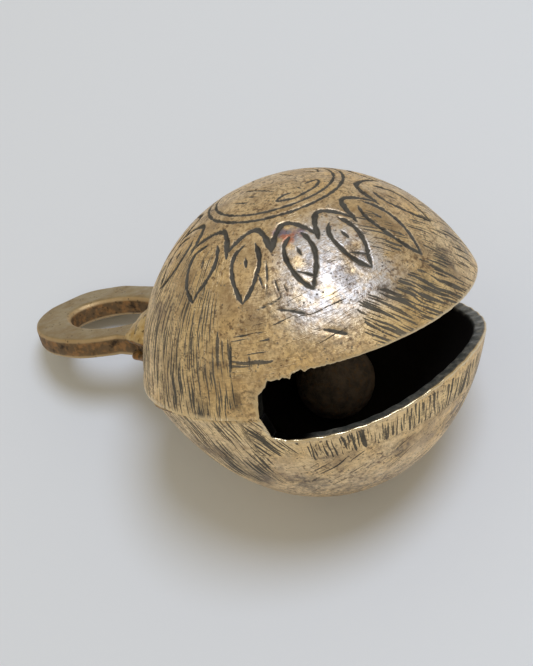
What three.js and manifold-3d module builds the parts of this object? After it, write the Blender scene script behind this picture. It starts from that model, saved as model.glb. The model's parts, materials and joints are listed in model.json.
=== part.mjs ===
// A cast brass crotal bell. Two domed half shells are brazed together along their seam, and a
// wide mouth is cut through the seam at the front. A flat hanging loop is held in the seam at
// the back by its tang and two fillets of braze, and a loose iron pellet rolls inside.
//
// Every piece is drawn in the bell's frame: +X runs along the bell's axis towards the mouth, +Z
// through the pole of the upper shell, the seam lies in the XY plane, and the centre is the
// origin. The bell group then lays the bell down at rest, on a worn flat of its belly and the
// edge of its loop. In the part's frame +Z is up and the origin is the middle of that flat.

import * as THREE from "three";
import { mergeVertices } from "three/addons/utils/BufferGeometryUtils.js";
import Module from "manifold-3d";

const wasm = await Module();
wasm.setup();

const DEG = Math.PI / 180;

// Driving dimensions, in millimetres and degrees.
const seamRadius = 32; // outside radius of the bell at its seam
const wall = 2.4; // thickness of the cast shells
const gap = 0.3; // clearance between pieces that touch
const brazeHeight = 0.6; // thickness of the braze between the two rims

const mouth = {
  halfAngle: 70, // it spans twice this angle about the front
  rise: 5.8, // how far it is cut above the seam, and how much that falls towards the left
  riseFall: 0.9,
  drop: 5, // how far below, and the swell and period of its lower lip's wave
  dropWave: 1.1,
  dropWaves: 3.3,
  dropPhase: 8,
  cornerAngle: 3.6, // its corners are cut off over this angle, to this share of its height
  cornerShare: 0.6,
};
const loopThickness = 4.4;
const pelletRadius = 7.7;

const restRoll = 31.4; // the bell lies rolled by this angle about its own axis
const restPitch = 20.7; // and pitched, mouth up, until its loop meets the surface
const wornDepth = 0.2; // depth of the flat worn on the belly

// Sizes that follow from them.
const rimHeight = brazeHeight / 2 + gap; // height of each shell's rim above or below the seam
const rimStep = 0.3; // the lower rim stands in from the upper one by this much
const upperDome = { radius: seamRadius, height: 29.5, fullness: 0.75 };
const lowerDome = { radius: seamRadius - rimStep, height: 30, fullness: 0.5 };
const pelletReach = 18.8; // from the bell's centre to the pellet's

const loop = {
  centre: -53.4, // middle of the oval along the bell's axis
  length: 34.6,
  width: 25.4,
  edgeBevel: 0.9,
  footWidth: 19,
  footEnd: -29, // the foot is drawn to here, then cut back to the shells
  eyeCentre: -51.6,
  eyeLength: 21.8,
  eyeWidth: 13.2,
};
const fillet = { length: 12, width: 22.4, height: 8, centre: -35 };
const tang = { width: 9, thickness: 3.2, outer: -36, inner: -(seamRadius - wall - 0.8) };

const brass = new THREE.MeshStandardMaterial({ color: 0xa88a5a, roughness: 0.38, metalness: 1 });
const loopBrass = new THREE.MeshStandardMaterial({ color: 0x9a7745, roughness: 0.45, metalness: 1 });
const braze = new THREE.MeshStandardMaterial({ color: 0xb5935a, roughness: 0.5, metalness: 1 });
const iron = new THREE.MeshStandardMaterial({ color: 0x4a3529, roughness: 0.8, metalness: 0.6 });

// A closed geometry as a solid that can be joined and cut, and back again.
function solid(geometry) {
  const bare = geometry.clone();
  bare.deleteAttribute("normal");
  bare.deleteAttribute("uv");
  const merged = mergeVertices(bare, 1e-4);
  return new wasm.Manifold(
    new wasm.Mesh({
      numProp: 3,
      vertProperties: new Float32Array(merged.attributes.position.array),
      triVerts: new Uint32Array(merged.index.array),
    }),
  );
}

function geometryOf(manifold) {
  const { vertProperties, triVerts } = manifold.getMesh();
  const geometry = new THREE.BufferGeometry();
  geometry.setAttribute("position", new THREE.BufferAttribute(vertProperties, 3));
  geometry.setIndex(new THREE.BufferAttribute(triVerts, 1));
  geometry.computeVertexNormals();
  return geometry;
}

function box(width, depth, height, x, y, z) {
  return new THREE.BoxGeometry(width, depth, height).translate(x, y, z);
}

// A dome's meridian from its rim to its pole, as (radius, height) points. Its outline is a conic:
// fullness 1 makes an ellipse, and less makes the sides run straighter into a sharper rim.
function meridian({ radius, height, fullness }, inset, start, steps) {
  const reach = radius - inset;
  const top = height - inset;
  const first = Math.asin(start / top);
  const points = [];
  for (let i = 0; i < steps; i += 1) {
    const u = Math.sin(first + ((Math.PI / 2 - first) * i) / steps);
    points.push(new THREE.Vector2(reach * Math.sqrt((1 - u) * (1 + fullness * u)), top * u));
  }
  points.push(new THREE.Vector2(0, top));
  return points;
}

// A profile in the upper half turned into a solid of revolution about Z. The lower half is the
// same profile upside down and backwards, so that its faces still point out.
function turned(profile, upper) {
  const points = upper ? profile : profile.map((p) => new THREE.Vector2(p.x, -p.y)).reverse();
  return new THREE.LatheGeometry(points, 60).rotateX(Math.PI / 2);
}

function halfShell(dome, upper) {
  const inside = meridian(dome, wall, rimHeight, 12).reverse();
  const outside = meridian(dome, 0, rimHeight, 12);
  return solid(turned([...inside, ...outside], upper));
}

// The bell's whole outer form, grown by the gap, to cut back what sits against it.
function outerForm() {
  const grown = [upperDome, lowerDome].map((dome) => meridian(dome, -gap, 0, 12));
  const base = new THREE.Vector2(0, 0);
  return solid(turned([base, ...grown[0]], true)).add(solid(turned([base, ...grown[1]], false)));
}

// How far the mouth is cut above and below the seam at an azimuth from the front.
function mouthRise(azimuth) {
  return mouth.rise - mouth.riseFall * Math.sin(azimuth);
}

function mouthDrop(azimuth) {
  return mouth.drop - mouth.dropWave * Math.cos(mouth.dropWaves * (azimuth - mouth.dropPhase * DEG));
}

function mouthCutter() {
  const half = mouth.halfAngle * DEG;
  const sector = new THREE.Shape();
  sector.absarc(0, 0, seamRadius + 4, -half, half, false);
  sector.absarc(0, 0, seamRadius - 3 * wall, half, -half, true);
  const cutter = new THREE.ExtrudeGeometry(sector, {
    depth: 1,
    bevelEnabled: false,
    curveSegments: 39,
  });
  const position = cutter.attributes.position;
  for (let i = 0; i < position.count; i += 1) {
    const azimuth = Math.atan2(position.getY(i), position.getX(i));
    const fromEnd = (half - Math.abs(azimuth)) / (mouth.cornerAngle * DEG);
    const share = THREE.MathUtils.lerp(mouth.cornerShare, 1, THREE.MathUtils.clamp(fromEnd, 0, 1));
    const isTop = position.getZ(i) > 0.5;
    position.setZ(i, share * (isTop ? mouthRise(azimuth) : -mouthDrop(azimuth)));
  }
  return solid(cutter);
}

// The oval loop with its foot, lying in the seam plane.
function loopPlate() {
  const halfLength = loop.length / 2;
  const halfWidth = loop.width / 2;
  const footHalf = loop.footWidth / 2;
  const join = Math.asin(footHalf / halfWidth);
  const outline = new THREE.Shape();
  outline.moveTo(loop.footEnd, footHalf);
  outline.lineTo(loop.footEnd, -footHalf);
  outline.absellipse(loop.centre, 0, halfLength, halfWidth, -join, join, true);
  const eye = new THREE.Path();
  eye.absellipse(loop.eyeCentre, 0, loop.eyeLength / 2, loop.eyeWidth / 2, 0, 2 * Math.PI, false);
  outline.holes.push(eye);
  return new THREE.ExtrudeGeometry(outline, {
    depth: loopThickness - 2 * loop.edgeBevel,
    bevelThickness: loop.edgeBevel,
    bevelSize: loop.edgeBevel,
    bevelOffset: -loop.edgeBevel,
    bevelSegments: 2,
    curveSegments: 36,
  }).translate(0, 0, loop.edgeBevel - loopThickness / 2);
}

function hangingLoop() {
  const length = tang.inner - tang.outer;
  const middle = (tang.inner + tang.outer) / 2;
  const tangBar = box(length, tang.width, tang.thickness, middle, 0, 0);
  return solid(loopPlate()).subtract(outerForm()).add(solid(tangBar));
}

// Both rims are notched at the back to let the tang through.
function tangNotch() {
  return solid(box(12, tang.width + 2 * gap, tang.thickness + 2 * gap, -seamRadius, 0, 0));
}

// A lump of braze in the corner between one face of the loop's foot and the shell above it.
function loopFillet(side) {
  const { length, width, height, centre } = fillet;
  const lump = new THREE.SphereGeometry(0.5, 24, 16).scale(length, width, height);
  lump.translate(centre, 0, side * (loopThickness / 2));
  const faceOfLoop = loopThickness / 2 + gap;
  const otherSide = box(2 * length, 2 * width, height, centre, 0, side * (faceOfLoop - height / 2));
  return solid(lump).subtract(outerForm()).subtract(solid(otherSide));
}

// The braze between the rims on one side, from the mouth's end to the tang.
function seamBraze(side) {
  const start = mouth.halfAngle * DEG;
  const end = Math.PI - Math.asin((tang.width / 2 + 2 * gap) / (seamRadius - wall));
  const strip = new THREE.Shape();
  const outer = lowerDome.radius;
  strip.absarc(0, 0, outer, side * start, side * end, side < 0);
  strip.absarc(0, 0, outer - wall + 0.4, side * end, side * start, side > 0);
  return new THREE.ExtrudeGeometry(strip, {
    depth: brazeHeight,
    bevelEnabled: false,
    curveSegments: 20,
  }).translate(0, 0, -brazeHeight / 2);
}

// How the bell lies: its turn, the way down as the bell sees it, and the lowest point of its belly.
const turn = new THREE.Matrix4().makeRotationFromEuler(
  new THREE.Euler(-restRoll * DEG, -restPitch * DEG, 0, "YXZ"),
);
const down = new THREE.Vector3(0, 0, -1).applyMatrix4(turn.clone().invert());

function bellyPoint() {
  const sideways = new THREE.Vector3(down.x, down.y, 0).normalize();
  const candidates = meridian(lowerDome, 0, 0, 900).map(({ x: radius, y: depth }) =>
    sideways.clone().multiplyScalar(radius).setZ(-depth),
  );
  return candidates.reduce((a, b) => (b.dot(down) > a.dot(down) ? b : a));
}

const wornCentre = bellyPoint().addScaledVector(down, -wornDepth);

// The material below the worn flat, as a slab in the bell's frame.
function wornSlab() {
  const slab = box(seamRadius, seamRadius, wall, 0, 0, -wall / 2);
  slab.applyMatrix4(turn.clone().invert());
  return solid(slab.translate(wornCentre.x, wornCentre.y, wornCentre.z));
}

const bell = new THREE.Group();

function add(name, geometry, material) {
  const mesh = new THREE.Mesh(geometry, material);
  mesh.name = name;
  bell.add(mesh);
  return mesh;
}

const seamCuts = mouthCutter().add(tangNotch());
const upperShell = halfShell(upperDome, true).subtract(seamCuts);
const lowerShell = halfShell(lowerDome, false).subtract(seamCuts).subtract(wornSlab());

add("upper_shell", geometryOf(upperShell), brass);
add("lower_shell", geometryOf(lowerShell), brass);
add("seam_braze_near", seamBraze(-1), braze);
add("seam_braze_far", seamBraze(1), braze);
add("hanging_loop", geometryOf(hangingLoop()), loopBrass);
add("loop_fillet_upper", geometryOf(loopFillet(1)), braze);
add("loop_fillet_lower", geometryOf(loopFillet(-1)), braze);

const pellet = add("pellet", new THREE.SphereGeometry(pelletRadius, 28, 18), iron);
pellet.position.copy(down).multiplyScalar(pelletReach);

bell.rotation.setFromRotationMatrix(turn);
bell.position.copy(wornCentre).applyMatrix4(turn).negate();

const part = new THREE.Group();
part.add(bell);
export default part;
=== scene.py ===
"""A hand-cast brass crotal bell, lying on a pale floor under soft studio light.

The shells, loop, braze and pellet are drawn in the bell's own frame, in millimetres: x runs along
the bell's axis towards the mouth, z through the pole of the engraved upper shell, and the seam
lies at z = 0. Places on a shell are given in degrees, as an azimuth round the pole, counted from
the mouth, and a distance from the pole as seen from the bell's centre.
"""

import json
import math

import bmesh
import bpy
import numpy as np
from mathutils import Matrix, Vector, kdtree, noise


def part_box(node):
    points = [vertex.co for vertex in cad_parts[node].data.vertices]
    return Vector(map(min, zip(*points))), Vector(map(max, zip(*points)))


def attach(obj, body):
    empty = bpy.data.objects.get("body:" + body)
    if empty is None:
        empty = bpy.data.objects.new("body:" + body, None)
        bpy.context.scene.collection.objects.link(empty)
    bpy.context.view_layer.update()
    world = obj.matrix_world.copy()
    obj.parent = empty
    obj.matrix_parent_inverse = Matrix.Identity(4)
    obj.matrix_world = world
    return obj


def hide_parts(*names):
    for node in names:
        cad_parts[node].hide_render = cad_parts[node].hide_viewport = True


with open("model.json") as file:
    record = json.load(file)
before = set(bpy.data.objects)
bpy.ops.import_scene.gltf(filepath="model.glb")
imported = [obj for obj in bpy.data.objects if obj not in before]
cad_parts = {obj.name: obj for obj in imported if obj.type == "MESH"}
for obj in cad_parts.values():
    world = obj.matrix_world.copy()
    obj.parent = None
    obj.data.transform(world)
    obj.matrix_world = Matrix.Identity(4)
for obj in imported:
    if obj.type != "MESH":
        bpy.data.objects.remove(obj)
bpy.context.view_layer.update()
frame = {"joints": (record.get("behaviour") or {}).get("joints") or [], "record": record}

MM = 0.001
rng = np.random.default_rng(14)

# ---------------------------------------------------------------- the bell's frame

mounts = {mount["name"]: mount for mount in frame["record"]["mounts"]}
bell_centre = Vector(frame["joints"][0]["pos_m"])
pole_axis = Vector(mounts["loop_eye"]["axis"]).normalized()
mouth_axis = (bell_centre - Vector(mounts["loop_eye"]["pos_m"])).normalized()
side_axis = pole_axis.cross(mouth_axis)
bell_axes = np.array([mouth_axis, side_axis, pole_axis])

pellet_low, pellet_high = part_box("pellet")
pellet_centre = (pellet_low + pellet_high) / 2


def to_world(points):
    """Points of the bell's frame, in millimetres, as points of the row frame, in metres."""
    return np.asarray(points) @ bell_axes * MM + np.array(bell_centre)


def to_bell(points):
    """Points of the row frame, in metres, as points of the bell's frame, in millimetres."""
    return (np.asarray(points) - np.array(bell_centre)) @ bell_axes.T / MM


# ---------------------------------------------------------------- sizes, in millimetres

WALL = 2.4
SEAM_RADIUS = 32.0
UPPER = {"radius": SEAM_RADIUS, "height": 29.5, "fullness": 0.75, "up": 1}
LOWER = {"radius": SEAM_RADIUS - 0.3, "height": 30.0, "fullness": 0.5, "up": -1}
MOUTH_HALF_ANGLE = 70.0

COLUMNS = 720
ENGRAVED_ROW = 0.3
PLAIN_ROW = 0.75
ROUND_STEPS = 4

# ---------------------------------------------------------------- small helpers


def smooth(low, high, value):
    """0 below low, 1 above high and an S-curve between them."""
    t = np.clip((np.asarray(value, float) - low) / (high - low), 0, 1)
    return t * t * (3 - 2 * t)


def window(low, high, soft, value):
    """1 between low and high, falling to 0 over a soft margin outside them."""
    return smooth(low - soft, low, value) * (1 - smooth(high, high + soft, value))


def turned(azimuth):
    """An azimuth brought between -180 and 180 degrees."""
    return (np.asarray(azimuth, float) + 180) % 360 - 180


def lumps(points, size, seed, octaves=1):
    """Smooth noise from about -1 to 1 with features of that size, at each point."""
    shift = Vector((seed * 17.3, seed * -9.1, seed * 5.7))
    total = np.zeros(len(points))
    for octave in range(octaves):
        scale = 2.0**octave / size
        values = [noise.noise(Vector(p) * scale + shift) for p in points]
        total += np.array(values) / 2.0**octave
    return total


def on_plane(places):
    """(azimuth, distance) places as points of a flat map centred on the pole."""
    azimuth, distance = np.radians(np.asarray(places, float)[:, 0]), np.asarray(places, float)[:, 1]
    return np.stack([distance * np.cos(azimuth), distance * np.sin(azimuth)], axis=1)


def curve_through(points, steps=14):
    """Points along a smooth curve that passes through the given ones."""
    points = np.asarray(points, float)
    ends = [2 * points[0] - points[1], *points, 2 * points[-1] - points[-2]]
    curve = []
    for a, b, c, d in zip(ends, ends[1:], ends[2:], ends[3:]):
        for t in np.linspace(0, 1, steps, endpoint=False):
            bend = 2 * a - 5 * b + 4 * c - d
            curve.append(0.5 * (2 * b + (c - a) * t + bend * t**2 + (3 * b - a - 3 * c + d) * t**3))
    return np.array([*curve, points[-1]])


# ---------------------------------------------------------------- the domes


def dome_curve(dome, inset=0.0):
    """A dome's meridian from pole to rim: distances from the pole in degrees, radii, heights."""
    share = np.sin(np.linspace(math.pi / 2, -0.02, 2000))
    radius = (dome["radius"] - inset) * np.sqrt((1 - share) * (1 + dome["fullness"] * share))
    height = (dome["height"] - inset) * share
    return np.degrees(np.arctan2(radius, height)), radius, height


def round_axis(radius, angle, height):
    """Points round an upright axis, at those radii, angles and heights."""
    return np.stack([radius * np.cos(angle), radius * np.sin(angle), height], axis=-1)


def dome_points(dome, azimuth, distance, inset=0.0):
    """Points on a dome, with the outward normals there."""
    distances, radii, heights = dome_curve(dome, inset)
    azimuth, distance = np.broadcast_arrays(azimuth, distance)
    radius = np.interp(distance, distances, radii)
    height = np.interp(distance, distances, heights)
    slope_r = np.interp(distance, distances, np.gradient(radii, distances))
    slope_h = np.interp(distance, distances, np.gradient(heights, distances))
    length = np.hypot(slope_r, slope_h)
    out, up = -slope_h / length, slope_r / length
    angle = np.radians(azimuth)
    points = round_axis(radius, angle, dome["up"] * height)
    return points, round_axis(out, angle, dome["up"] * up)


def distance_at_height(dome, height, inset=0.0):
    """How far from the pole, in degrees, a dome is cut by a level plane at that height."""
    distances, _, heights = dome_curve(dome, inset)
    return np.interp(-np.asarray(height), -heights, distances)


# ---------------------------------------------------------------- the mouth


def mouth_end(azimuth, seed, corner=0.32):
    """How far the mouth is open, from 0 past its hand-cut ends to 1, with their ragged steps."""
    wobble = 0.5 * np.sin(azimuth * 1.9 + seed) + 0.25 * np.sin(azimuth * 4.7 + 2 * seed)
    edge = np.abs(azimuth) - 0.25 * wobble
    first = 1 - smooth(MOUTH_HALF_ANGLE + 0.1, MOUTH_HALF_ANGLE + 1.3, edge)
    second = 1 - smooth(MOUTH_HALF_ANGLE - 4.5, MOUTH_HALF_ANGLE - 0.2, edge)
    ragged = 0.16 * first * (1 - first) * np.sin(11 * azimuth + seed)
    return (1 - corner) * first + corner * second + ragged


def ragged_edge(azimuth, size, seed):
    """Small nicks along the outer edge of a lip, as an uneven height."""
    path = np.stack([np.radians(azimuth) * SEAM_RADIUS, 0 * azimuth, 0 * azimuth], axis=1)
    return lumps(path, size, seed)


def upper_lip(azimuth, nicked=1.0):
    """Height of the upper lip above the seam, and 0 where the rims are joined."""
    lip = 5.8 - 0.9 * np.sin(np.radians(azimuth)) - 0.7 * smooth(-54, -60, azimuth)
    nicks = 0.32 * window(-58.5, -55.5, 0.8, azimuth) + 0.12 * np.sin(azimuth * 1.3)
    ragged = 0.14 * np.sin(azimuth * 3.1) * np.sin(azimuth * 0.83) * smooth(30, 55, np.abs(azimuth))
    coarse = smooth(45, 56, np.abs(azimuth))
    fine = nicked * (0.05 + 0.13 * coarse) * ragged_edge(azimuth, 0.8, 12)
    return (lip + nicks * coarse + ragged + fine) * mouth_end(azimuth, 0.4)


def lower_lip(azimuth, nicked=1.0):
    """Depth of the lower lip below the seam, and 0 where the rims are joined."""
    lip = 5.0 - 1.1 * np.cos(np.radians(3.3 * (azimuth - 8)))
    ragged = 0.07 * np.sin(azimuth * 0.9) + nicked * 0.022 * ragged_edge(azimuth, 1.1, 14)
    return (lip + ragged) * mouth_end(azimuth, 2.1, 0.13)


# ---------------------------------------------------------------- the engraving

CIRCLES = [(24.2, 0.6, 0.30), (21.0, 0.7, 0.27)]
CUSPS = [-138, -113, -84, -58.5, -33.5, -9.8, 12.6, 46, 71, 96, 121, 147, 172, 197]
LEANS_LEFT = {3, 4, 5, 6}
PETALS = [  # azimuth, distance of its tip, half width on its left and right, lean of its tip
    (-126, 54, 8.0, 7.0, -1.0, False),
    (-99, 54, 9.5, 8.7, 2.0, False),
    (-72, 54.6, 7.4, 7.0, -0.4, False),
    (-45, 54.5, 7.0, 7.2, 0.8, True),
    (-20.5, 55, 6.7, 6.8, 1.0, True),
    (3, 60, 6.1, 7.0, 0.5, False),
    (27, 56, 7.5, 8.5, 0.0, False),
]
LEAF = [
    *[(-28, 14.2), (-40, 13.9), (-50, 16.2), (-30, 17.5)],
    *[(-4, 17.1), (15, 16.5), (20, 15), (1, 12.7)],
]
LEAF_STROKES = [
    [(-13, 12.4), (-12.7, 14.6)],
    [(-132, 9.7), (-100, 7.3), (-52, 9.7)],
    [(-116, 16), (-90, 14.8)],
    [(110, 7.5), (52, 7)],
    [(-109, 12), (-82, 11)],
    [(150, 9), (125, 13), (112, 17), (135, 17.5), (160, 14), (172, 10)],
    [(70, 12), (55, 16), (75, 17.5), (92, 15)],
    [(-160, 12), (-150, 16)],
]
SLIPS = [  # where the graver or file slipped: its path and half width
    ([(-59, 58), (-53, 59.8), (-47.5, 62.3)], 0.26),
    ([(-45, 67.6), (-41, 69.4), (-37, 71.6)], 0.36),
    ([(-49, 66.3), (-42, 68.2)], 0.16),
    ([(-78, 65.3), (-64.5, 64.1)], 0.2),
    ([(-76, 72.9), (-65, 72.5)], 0.17),
    ([(-76, 74.2), (-66, 73.9)], 0.17),
    ([(-71, 70), (-71.4, 75)], 0.2),
    ([(-77.4, 66.6), (-78.4, 77.3)], 0.36),
    ([(-61.5, 41), (-61.5, 47), (-62.5, 53)], 0.2),
    ([(-65.5, 45), (-63.5, 50.5)], 0.22),
    ([(-58.5, 48), (-57, 54)], 0.17),
    ([(-55, 50.5), (-54, 53.5)], 0.2),
    ([(-66.5, 57), (-60, 55.6), (-55.5, 53.6)], 0.2),
    ([(-36, 47), (-30, 48.5)], 0.13),
    ([(-34, 44), (-28, 44.5)], 0.13),
    ([(7, 57), (12, 63.5), (18.5, 73.5)], 0.14),
    ([(0, 60), (6, 66.5), (9, 72)], 0.14),
    ([(14, 52), (24, 64), (31, 72)], 0.12),
]


def scallop(left, right, leans_left):
    """One arch of the scalloped line, from cusp to cusp, steep on the side it leans to."""
    wide = right - left
    shares = [(0.0, 38.5), (0.05, 35.4), (0.16, 31.4), (0.36, 28.5)]
    shares += [(0.62, 29.4), (0.88, 33.0), (1.0, 36.6)]
    if not leans_left:
        shares = [(1 - share, distance) for share, distance in shares]
    return [(left + share * wide, distance) for share, distance in shares]


def petal_lines(azimuth, tip, left, right, lean, closed):
    """The two sides of a petal, its seed, and the short line that closes some of them."""
    top, long = 34.0, (tip - 34.0) / 21.0

    def side(width, start):
        outline = [(start, 0), (width * 0.93, 3.5), (width, 8), (width * 0.74, 13.2)]
        outline.append((width * 0.36, 17.6))
        places = [(azimuth + offset, top + long * along) for offset, along in outline]
        return [*places, (azimuth + lean, tip)]

    lines = [
        (side(-left, -0.3 * left), 0.36, 0.42),
        (side(right, 0.62 * right), 0.45, 0.34),
        ([(azimuth - 0.6, 38.6), (azimuth + 0.4, 42.2)], 0.12, 0.55),
    ]
    if closed:
        lines.append(([(azimuth - 0.55 * left, 47.2), (azimuth + 0.55 * right, 51.0)], 0.2, 0.26))
    return lines


def engraved_lines():
    """Every engraved line, as (places, half width at its start, half width at its end)."""
    lines = []
    for distance, drift, width in CIRCLES:
        turns = np.arange(0, 361, 12)
        ring = [(a, distance - drift * math.cos(math.radians(a))) for a in turns]
        lines.append((ring, width, width))
    cusps = [*CUSPS, CUSPS[0] + 360]
    for number, (left, right) in enumerate(zip(cusps, cusps[1:])):
        arch = scallop(left, right, number in LEANS_LEFT)
        lines.append((arch, 0.56, 0.36))
    petals = list(PETALS)
    for azimuth in range(58, 220, 25):
        tip, left, right = rng.uniform(53, 58), rng.uniform(6.5, 8.5), rng.uniform(6.5, 8.5)
        petals.append((azimuth, tip, left, right, rng.uniform(-1, 1), rng.random() < 0.3))
    for petal in petals:
        lines += petal_lines(*petal)
    lines.append((LEAF, 0.3, 0.24))
    lines += [(stroke, 0.26, 0.16) for stroke in LEAF_STROKES]
    lines += [(path, width, 0.6 * width) for path, width in SLIPS]
    return lines


def groove_field(points):
    """Signed distance of each point from the edge of the nearest groove: negative inside it."""
    samples, widths = [], []
    for number, (places, start, end) in enumerate(engraved_lines()):
        flat = curve_through(on_plane(places))
        azimuth = np.degrees(np.arctan2(flat[:, 1], flat[:, 0]))
        path, _ = dome_points(UPPER, azimuth, np.hypot(flat[:, 0], flat[:, 1]))
        steps = np.r_[0, np.cumsum(np.linalg.norm(np.diff(path, axis=0), axis=1))]
        along = np.linspace(0, steps[-1], max(3, int(steps[-1] / 0.12)))
        path = np.stack([np.interp(along, steps, path[:, axis]) for axis in range(3)], axis=1)
        share = along / steps[-1]
        taper = np.minimum(1, np.minimum(share, 1 - share) * steps[-1] / 1.1)
        tremble = 1 + 0.16 * np.sin(along * 1.7 + number) + 0.1 * np.sin(along * 4.3 + 2 * number)
        closed = np.linalg.norm(path[0] - path[-1]) < 0.1
        samples.append(path)
        fade = 1 if closed else 0.35 + 0.65 * taper
        widths.append((start + (end - start) * share) * tremble * fade)
    samples, widths = np.concatenate(samples), np.concatenate(widths)
    tree = kdtree.KDTree(len(samples))
    for index, sample in enumerate(samples):
        tree.insert(sample, index)
    tree.balance()
    field = np.full(len(points), 1.5)
    for index, point in enumerate(points):
        _, nearest, distance = tree.find(point)
        field[index] = min(1.5, distance - widths[nearest])
    return field


# ---------------------------------------------------------------- the marks that files left


FILED_ZONES = {  # on the upper and lower shell
    # azimuth from, to, fade; distance from, to, fade; stroke angle; strength
    1: [
        (-150, -84, 3, 52, 90, 8, 0, 0.85),
        (-83.5, -78, 0.7, 66, 84, 3, 0, 0.85),
        (-125, -84, 4, 40, 52, 6, 0, 0.42),
        (-77, -64, 1.5, 62, 75, 3, 92, 0.34),
        (-60, -30, 6, 56, 70, 4, 99, 0.14),
        (-30, 10, 4, 65, 83, 4, 45, 0.95),
        (-13, 3, 2, 38, 53, 3, 52, 0.6),
        (10.5, 62, 3, 52, 84, 4, 45, 0.4),
        (90, 148, 10, 52, 90, 8, 0, 0.7),
        (150, 209, 6, 50, 90, 8, 20, 0.6),
    ],
    -1: [
        (-150, -80, 6, 58, 90, 8, -8, 0.7),
        (-79, -64, 2, 74, 88, 3, -30, 0.6),
        (-56, 34, 10, 70.5, 75, 4.5, 0, 0.62),
        (-22, 24, 8, 69.5, 77, 3, 0, 1.0),
        (-64, 30, 8, 34, 66, 6, 60, 0.2),
        (42, 209, 8, 58, 90, 8, 5, 0.5),
    ],
}


def filing(dome, azimuth, distance):
    """How strongly each place is filed, and the angle of the strokes there."""
    strength, angle = np.zeros(len(azimuth)), np.zeros(len(azimuth))
    for a0, a1, a_fade, d0, d1, d_fade, turn_angle, most in FILED_ZONES[dome["up"]]:
        middle = (a0 + a1) / 2
        around = turned(azimuth - middle) + middle
        here = most * window(a0, a1, a_fade, around) * window(d0, d1, d_fade, distance)
        angle = np.where(here > strength, math.radians(turn_angle), angle)
        strength = np.maximum(strength, here)
    return strength, angle


# ---------------------------------------------------------------- stains and painted shade

STAINS_AND_SHADE = {  # on the upper and lower shell: azimuth, distance, size, strength
    1: [
        (-45, 60, 32, 0.52),
        (0, 62, 26, 0.36),
        (-24, 49, 8, 0.8),
        (-40, 46, 6, 0.7),
        (-14, 66, 6, 1.0),
        (-4, 69, 6, 0.9),
        (-20, 64, 5, 0.9),
        (-31, 54, 7, 1.0),
        (-44, 55, 6, 0.9),
        (-38, 60, 5, 0.8),
        (-50, 62, 6, 0.7),
        (12, 66, 9, 0.8),
        (30, 68, 10, 0.7),
        (-92, 86, 7, 1.0),
        (-102, 82, 6, 0.8),
        (-78, 84, 4.5, 1.0),
        (-72, 82, 3, 0.7),
        (120, 60, 22, 0.6),
        (175, 70, 18, 0.6),
        (60, 75, 14, 0.6),
    ],
    -1: [
        (-60, 60, 44, 0.30),
        (10, 55, 40, 0.22),
        # painted shade: these two broad spots darken the lower shell towards its bottom, where it
        # reflects the floor's shadow
        (-45, 22, 44, 0.62),
        (40, 40, 30, 0.60),
        (-90, 62, 15, 0.9),
        (-68, 52, 12, 0.75),
        (-96, 72, 10, 0.8),
        (-76, 82, 6, 0.8),
        (-30, 60, 8, 0.6),
        (4, 57, 12, 0.7),
        (24, 66, 12, 0.85),
        (38, 74, 10, 0.9),
        (100, 55, 24, 0.7),
        (170, 50, 24, 0.7),
    ],
}
TINTS = [(-48, 34, 4.5, 1.0), (-53, 31.5, 3, 1.0), (-40, 34, 3, 0.8)]


def spots(places, azimuth, distance):
    """Soft round spots on a shell, each of them fading out at its size, in degrees."""
    total = np.zeros(len(azimuth))
    for spot_azimuth, spot_distance, size, strength in places:
        across = turned(azimuth - spot_azimuth) * np.sin(np.radians(distance))
        away = np.hypot(across, distance - spot_distance) / size
        total = np.maximum(total, strength * (1 - smooth(0.35, 1.0, away)))
    return total


# ---------------------------------------------------------------- shells


class Sheets:
    """Gathers rings of vertices and the faces between them into one closed mesh."""

    def __init__(self):
        self.points, self.faces, self.values, self.count = [], [], [], 0

    def ring(self, points, values):
        self.points.append(points)
        self.values.append(values)
        first, self.count = self.count, self.count + len(points)
        return np.arange(first, self.count)

    def join(self, a, b):
        """Faces between two rings of the same length, or of lengths one to two, or a pole."""
        if len(b) == 1 or len(a) == 1:
            many, one = (a, b[0]) if len(b) == 1 else (b, a[0])
            pairs = zip(many, np.roll(many, -1))
            self.faces += [(p, q, one) if len(b) == 1 else (q, p, one) for p, q in pairs]
        elif len(a) == len(b):
            self.faces += zip(a, np.roll(a, -1), np.roll(b, -1), b)
        elif len(a) == 2 * len(b):
            odd, even, b_next = a[1::2], a[0::2], np.roll(b, -1)
            self.faces += zip(even, odd, b)
            self.faces += zip(odd, np.roll(even, -1), b_next, b)
        else:
            odd, even, a_next = b[1::2], b[0::2], np.roll(a, -1)
            self.faces += zip(a, odd, even)
            self.faces += zip(a, a_next, np.roll(even, -1), odd)


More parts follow.
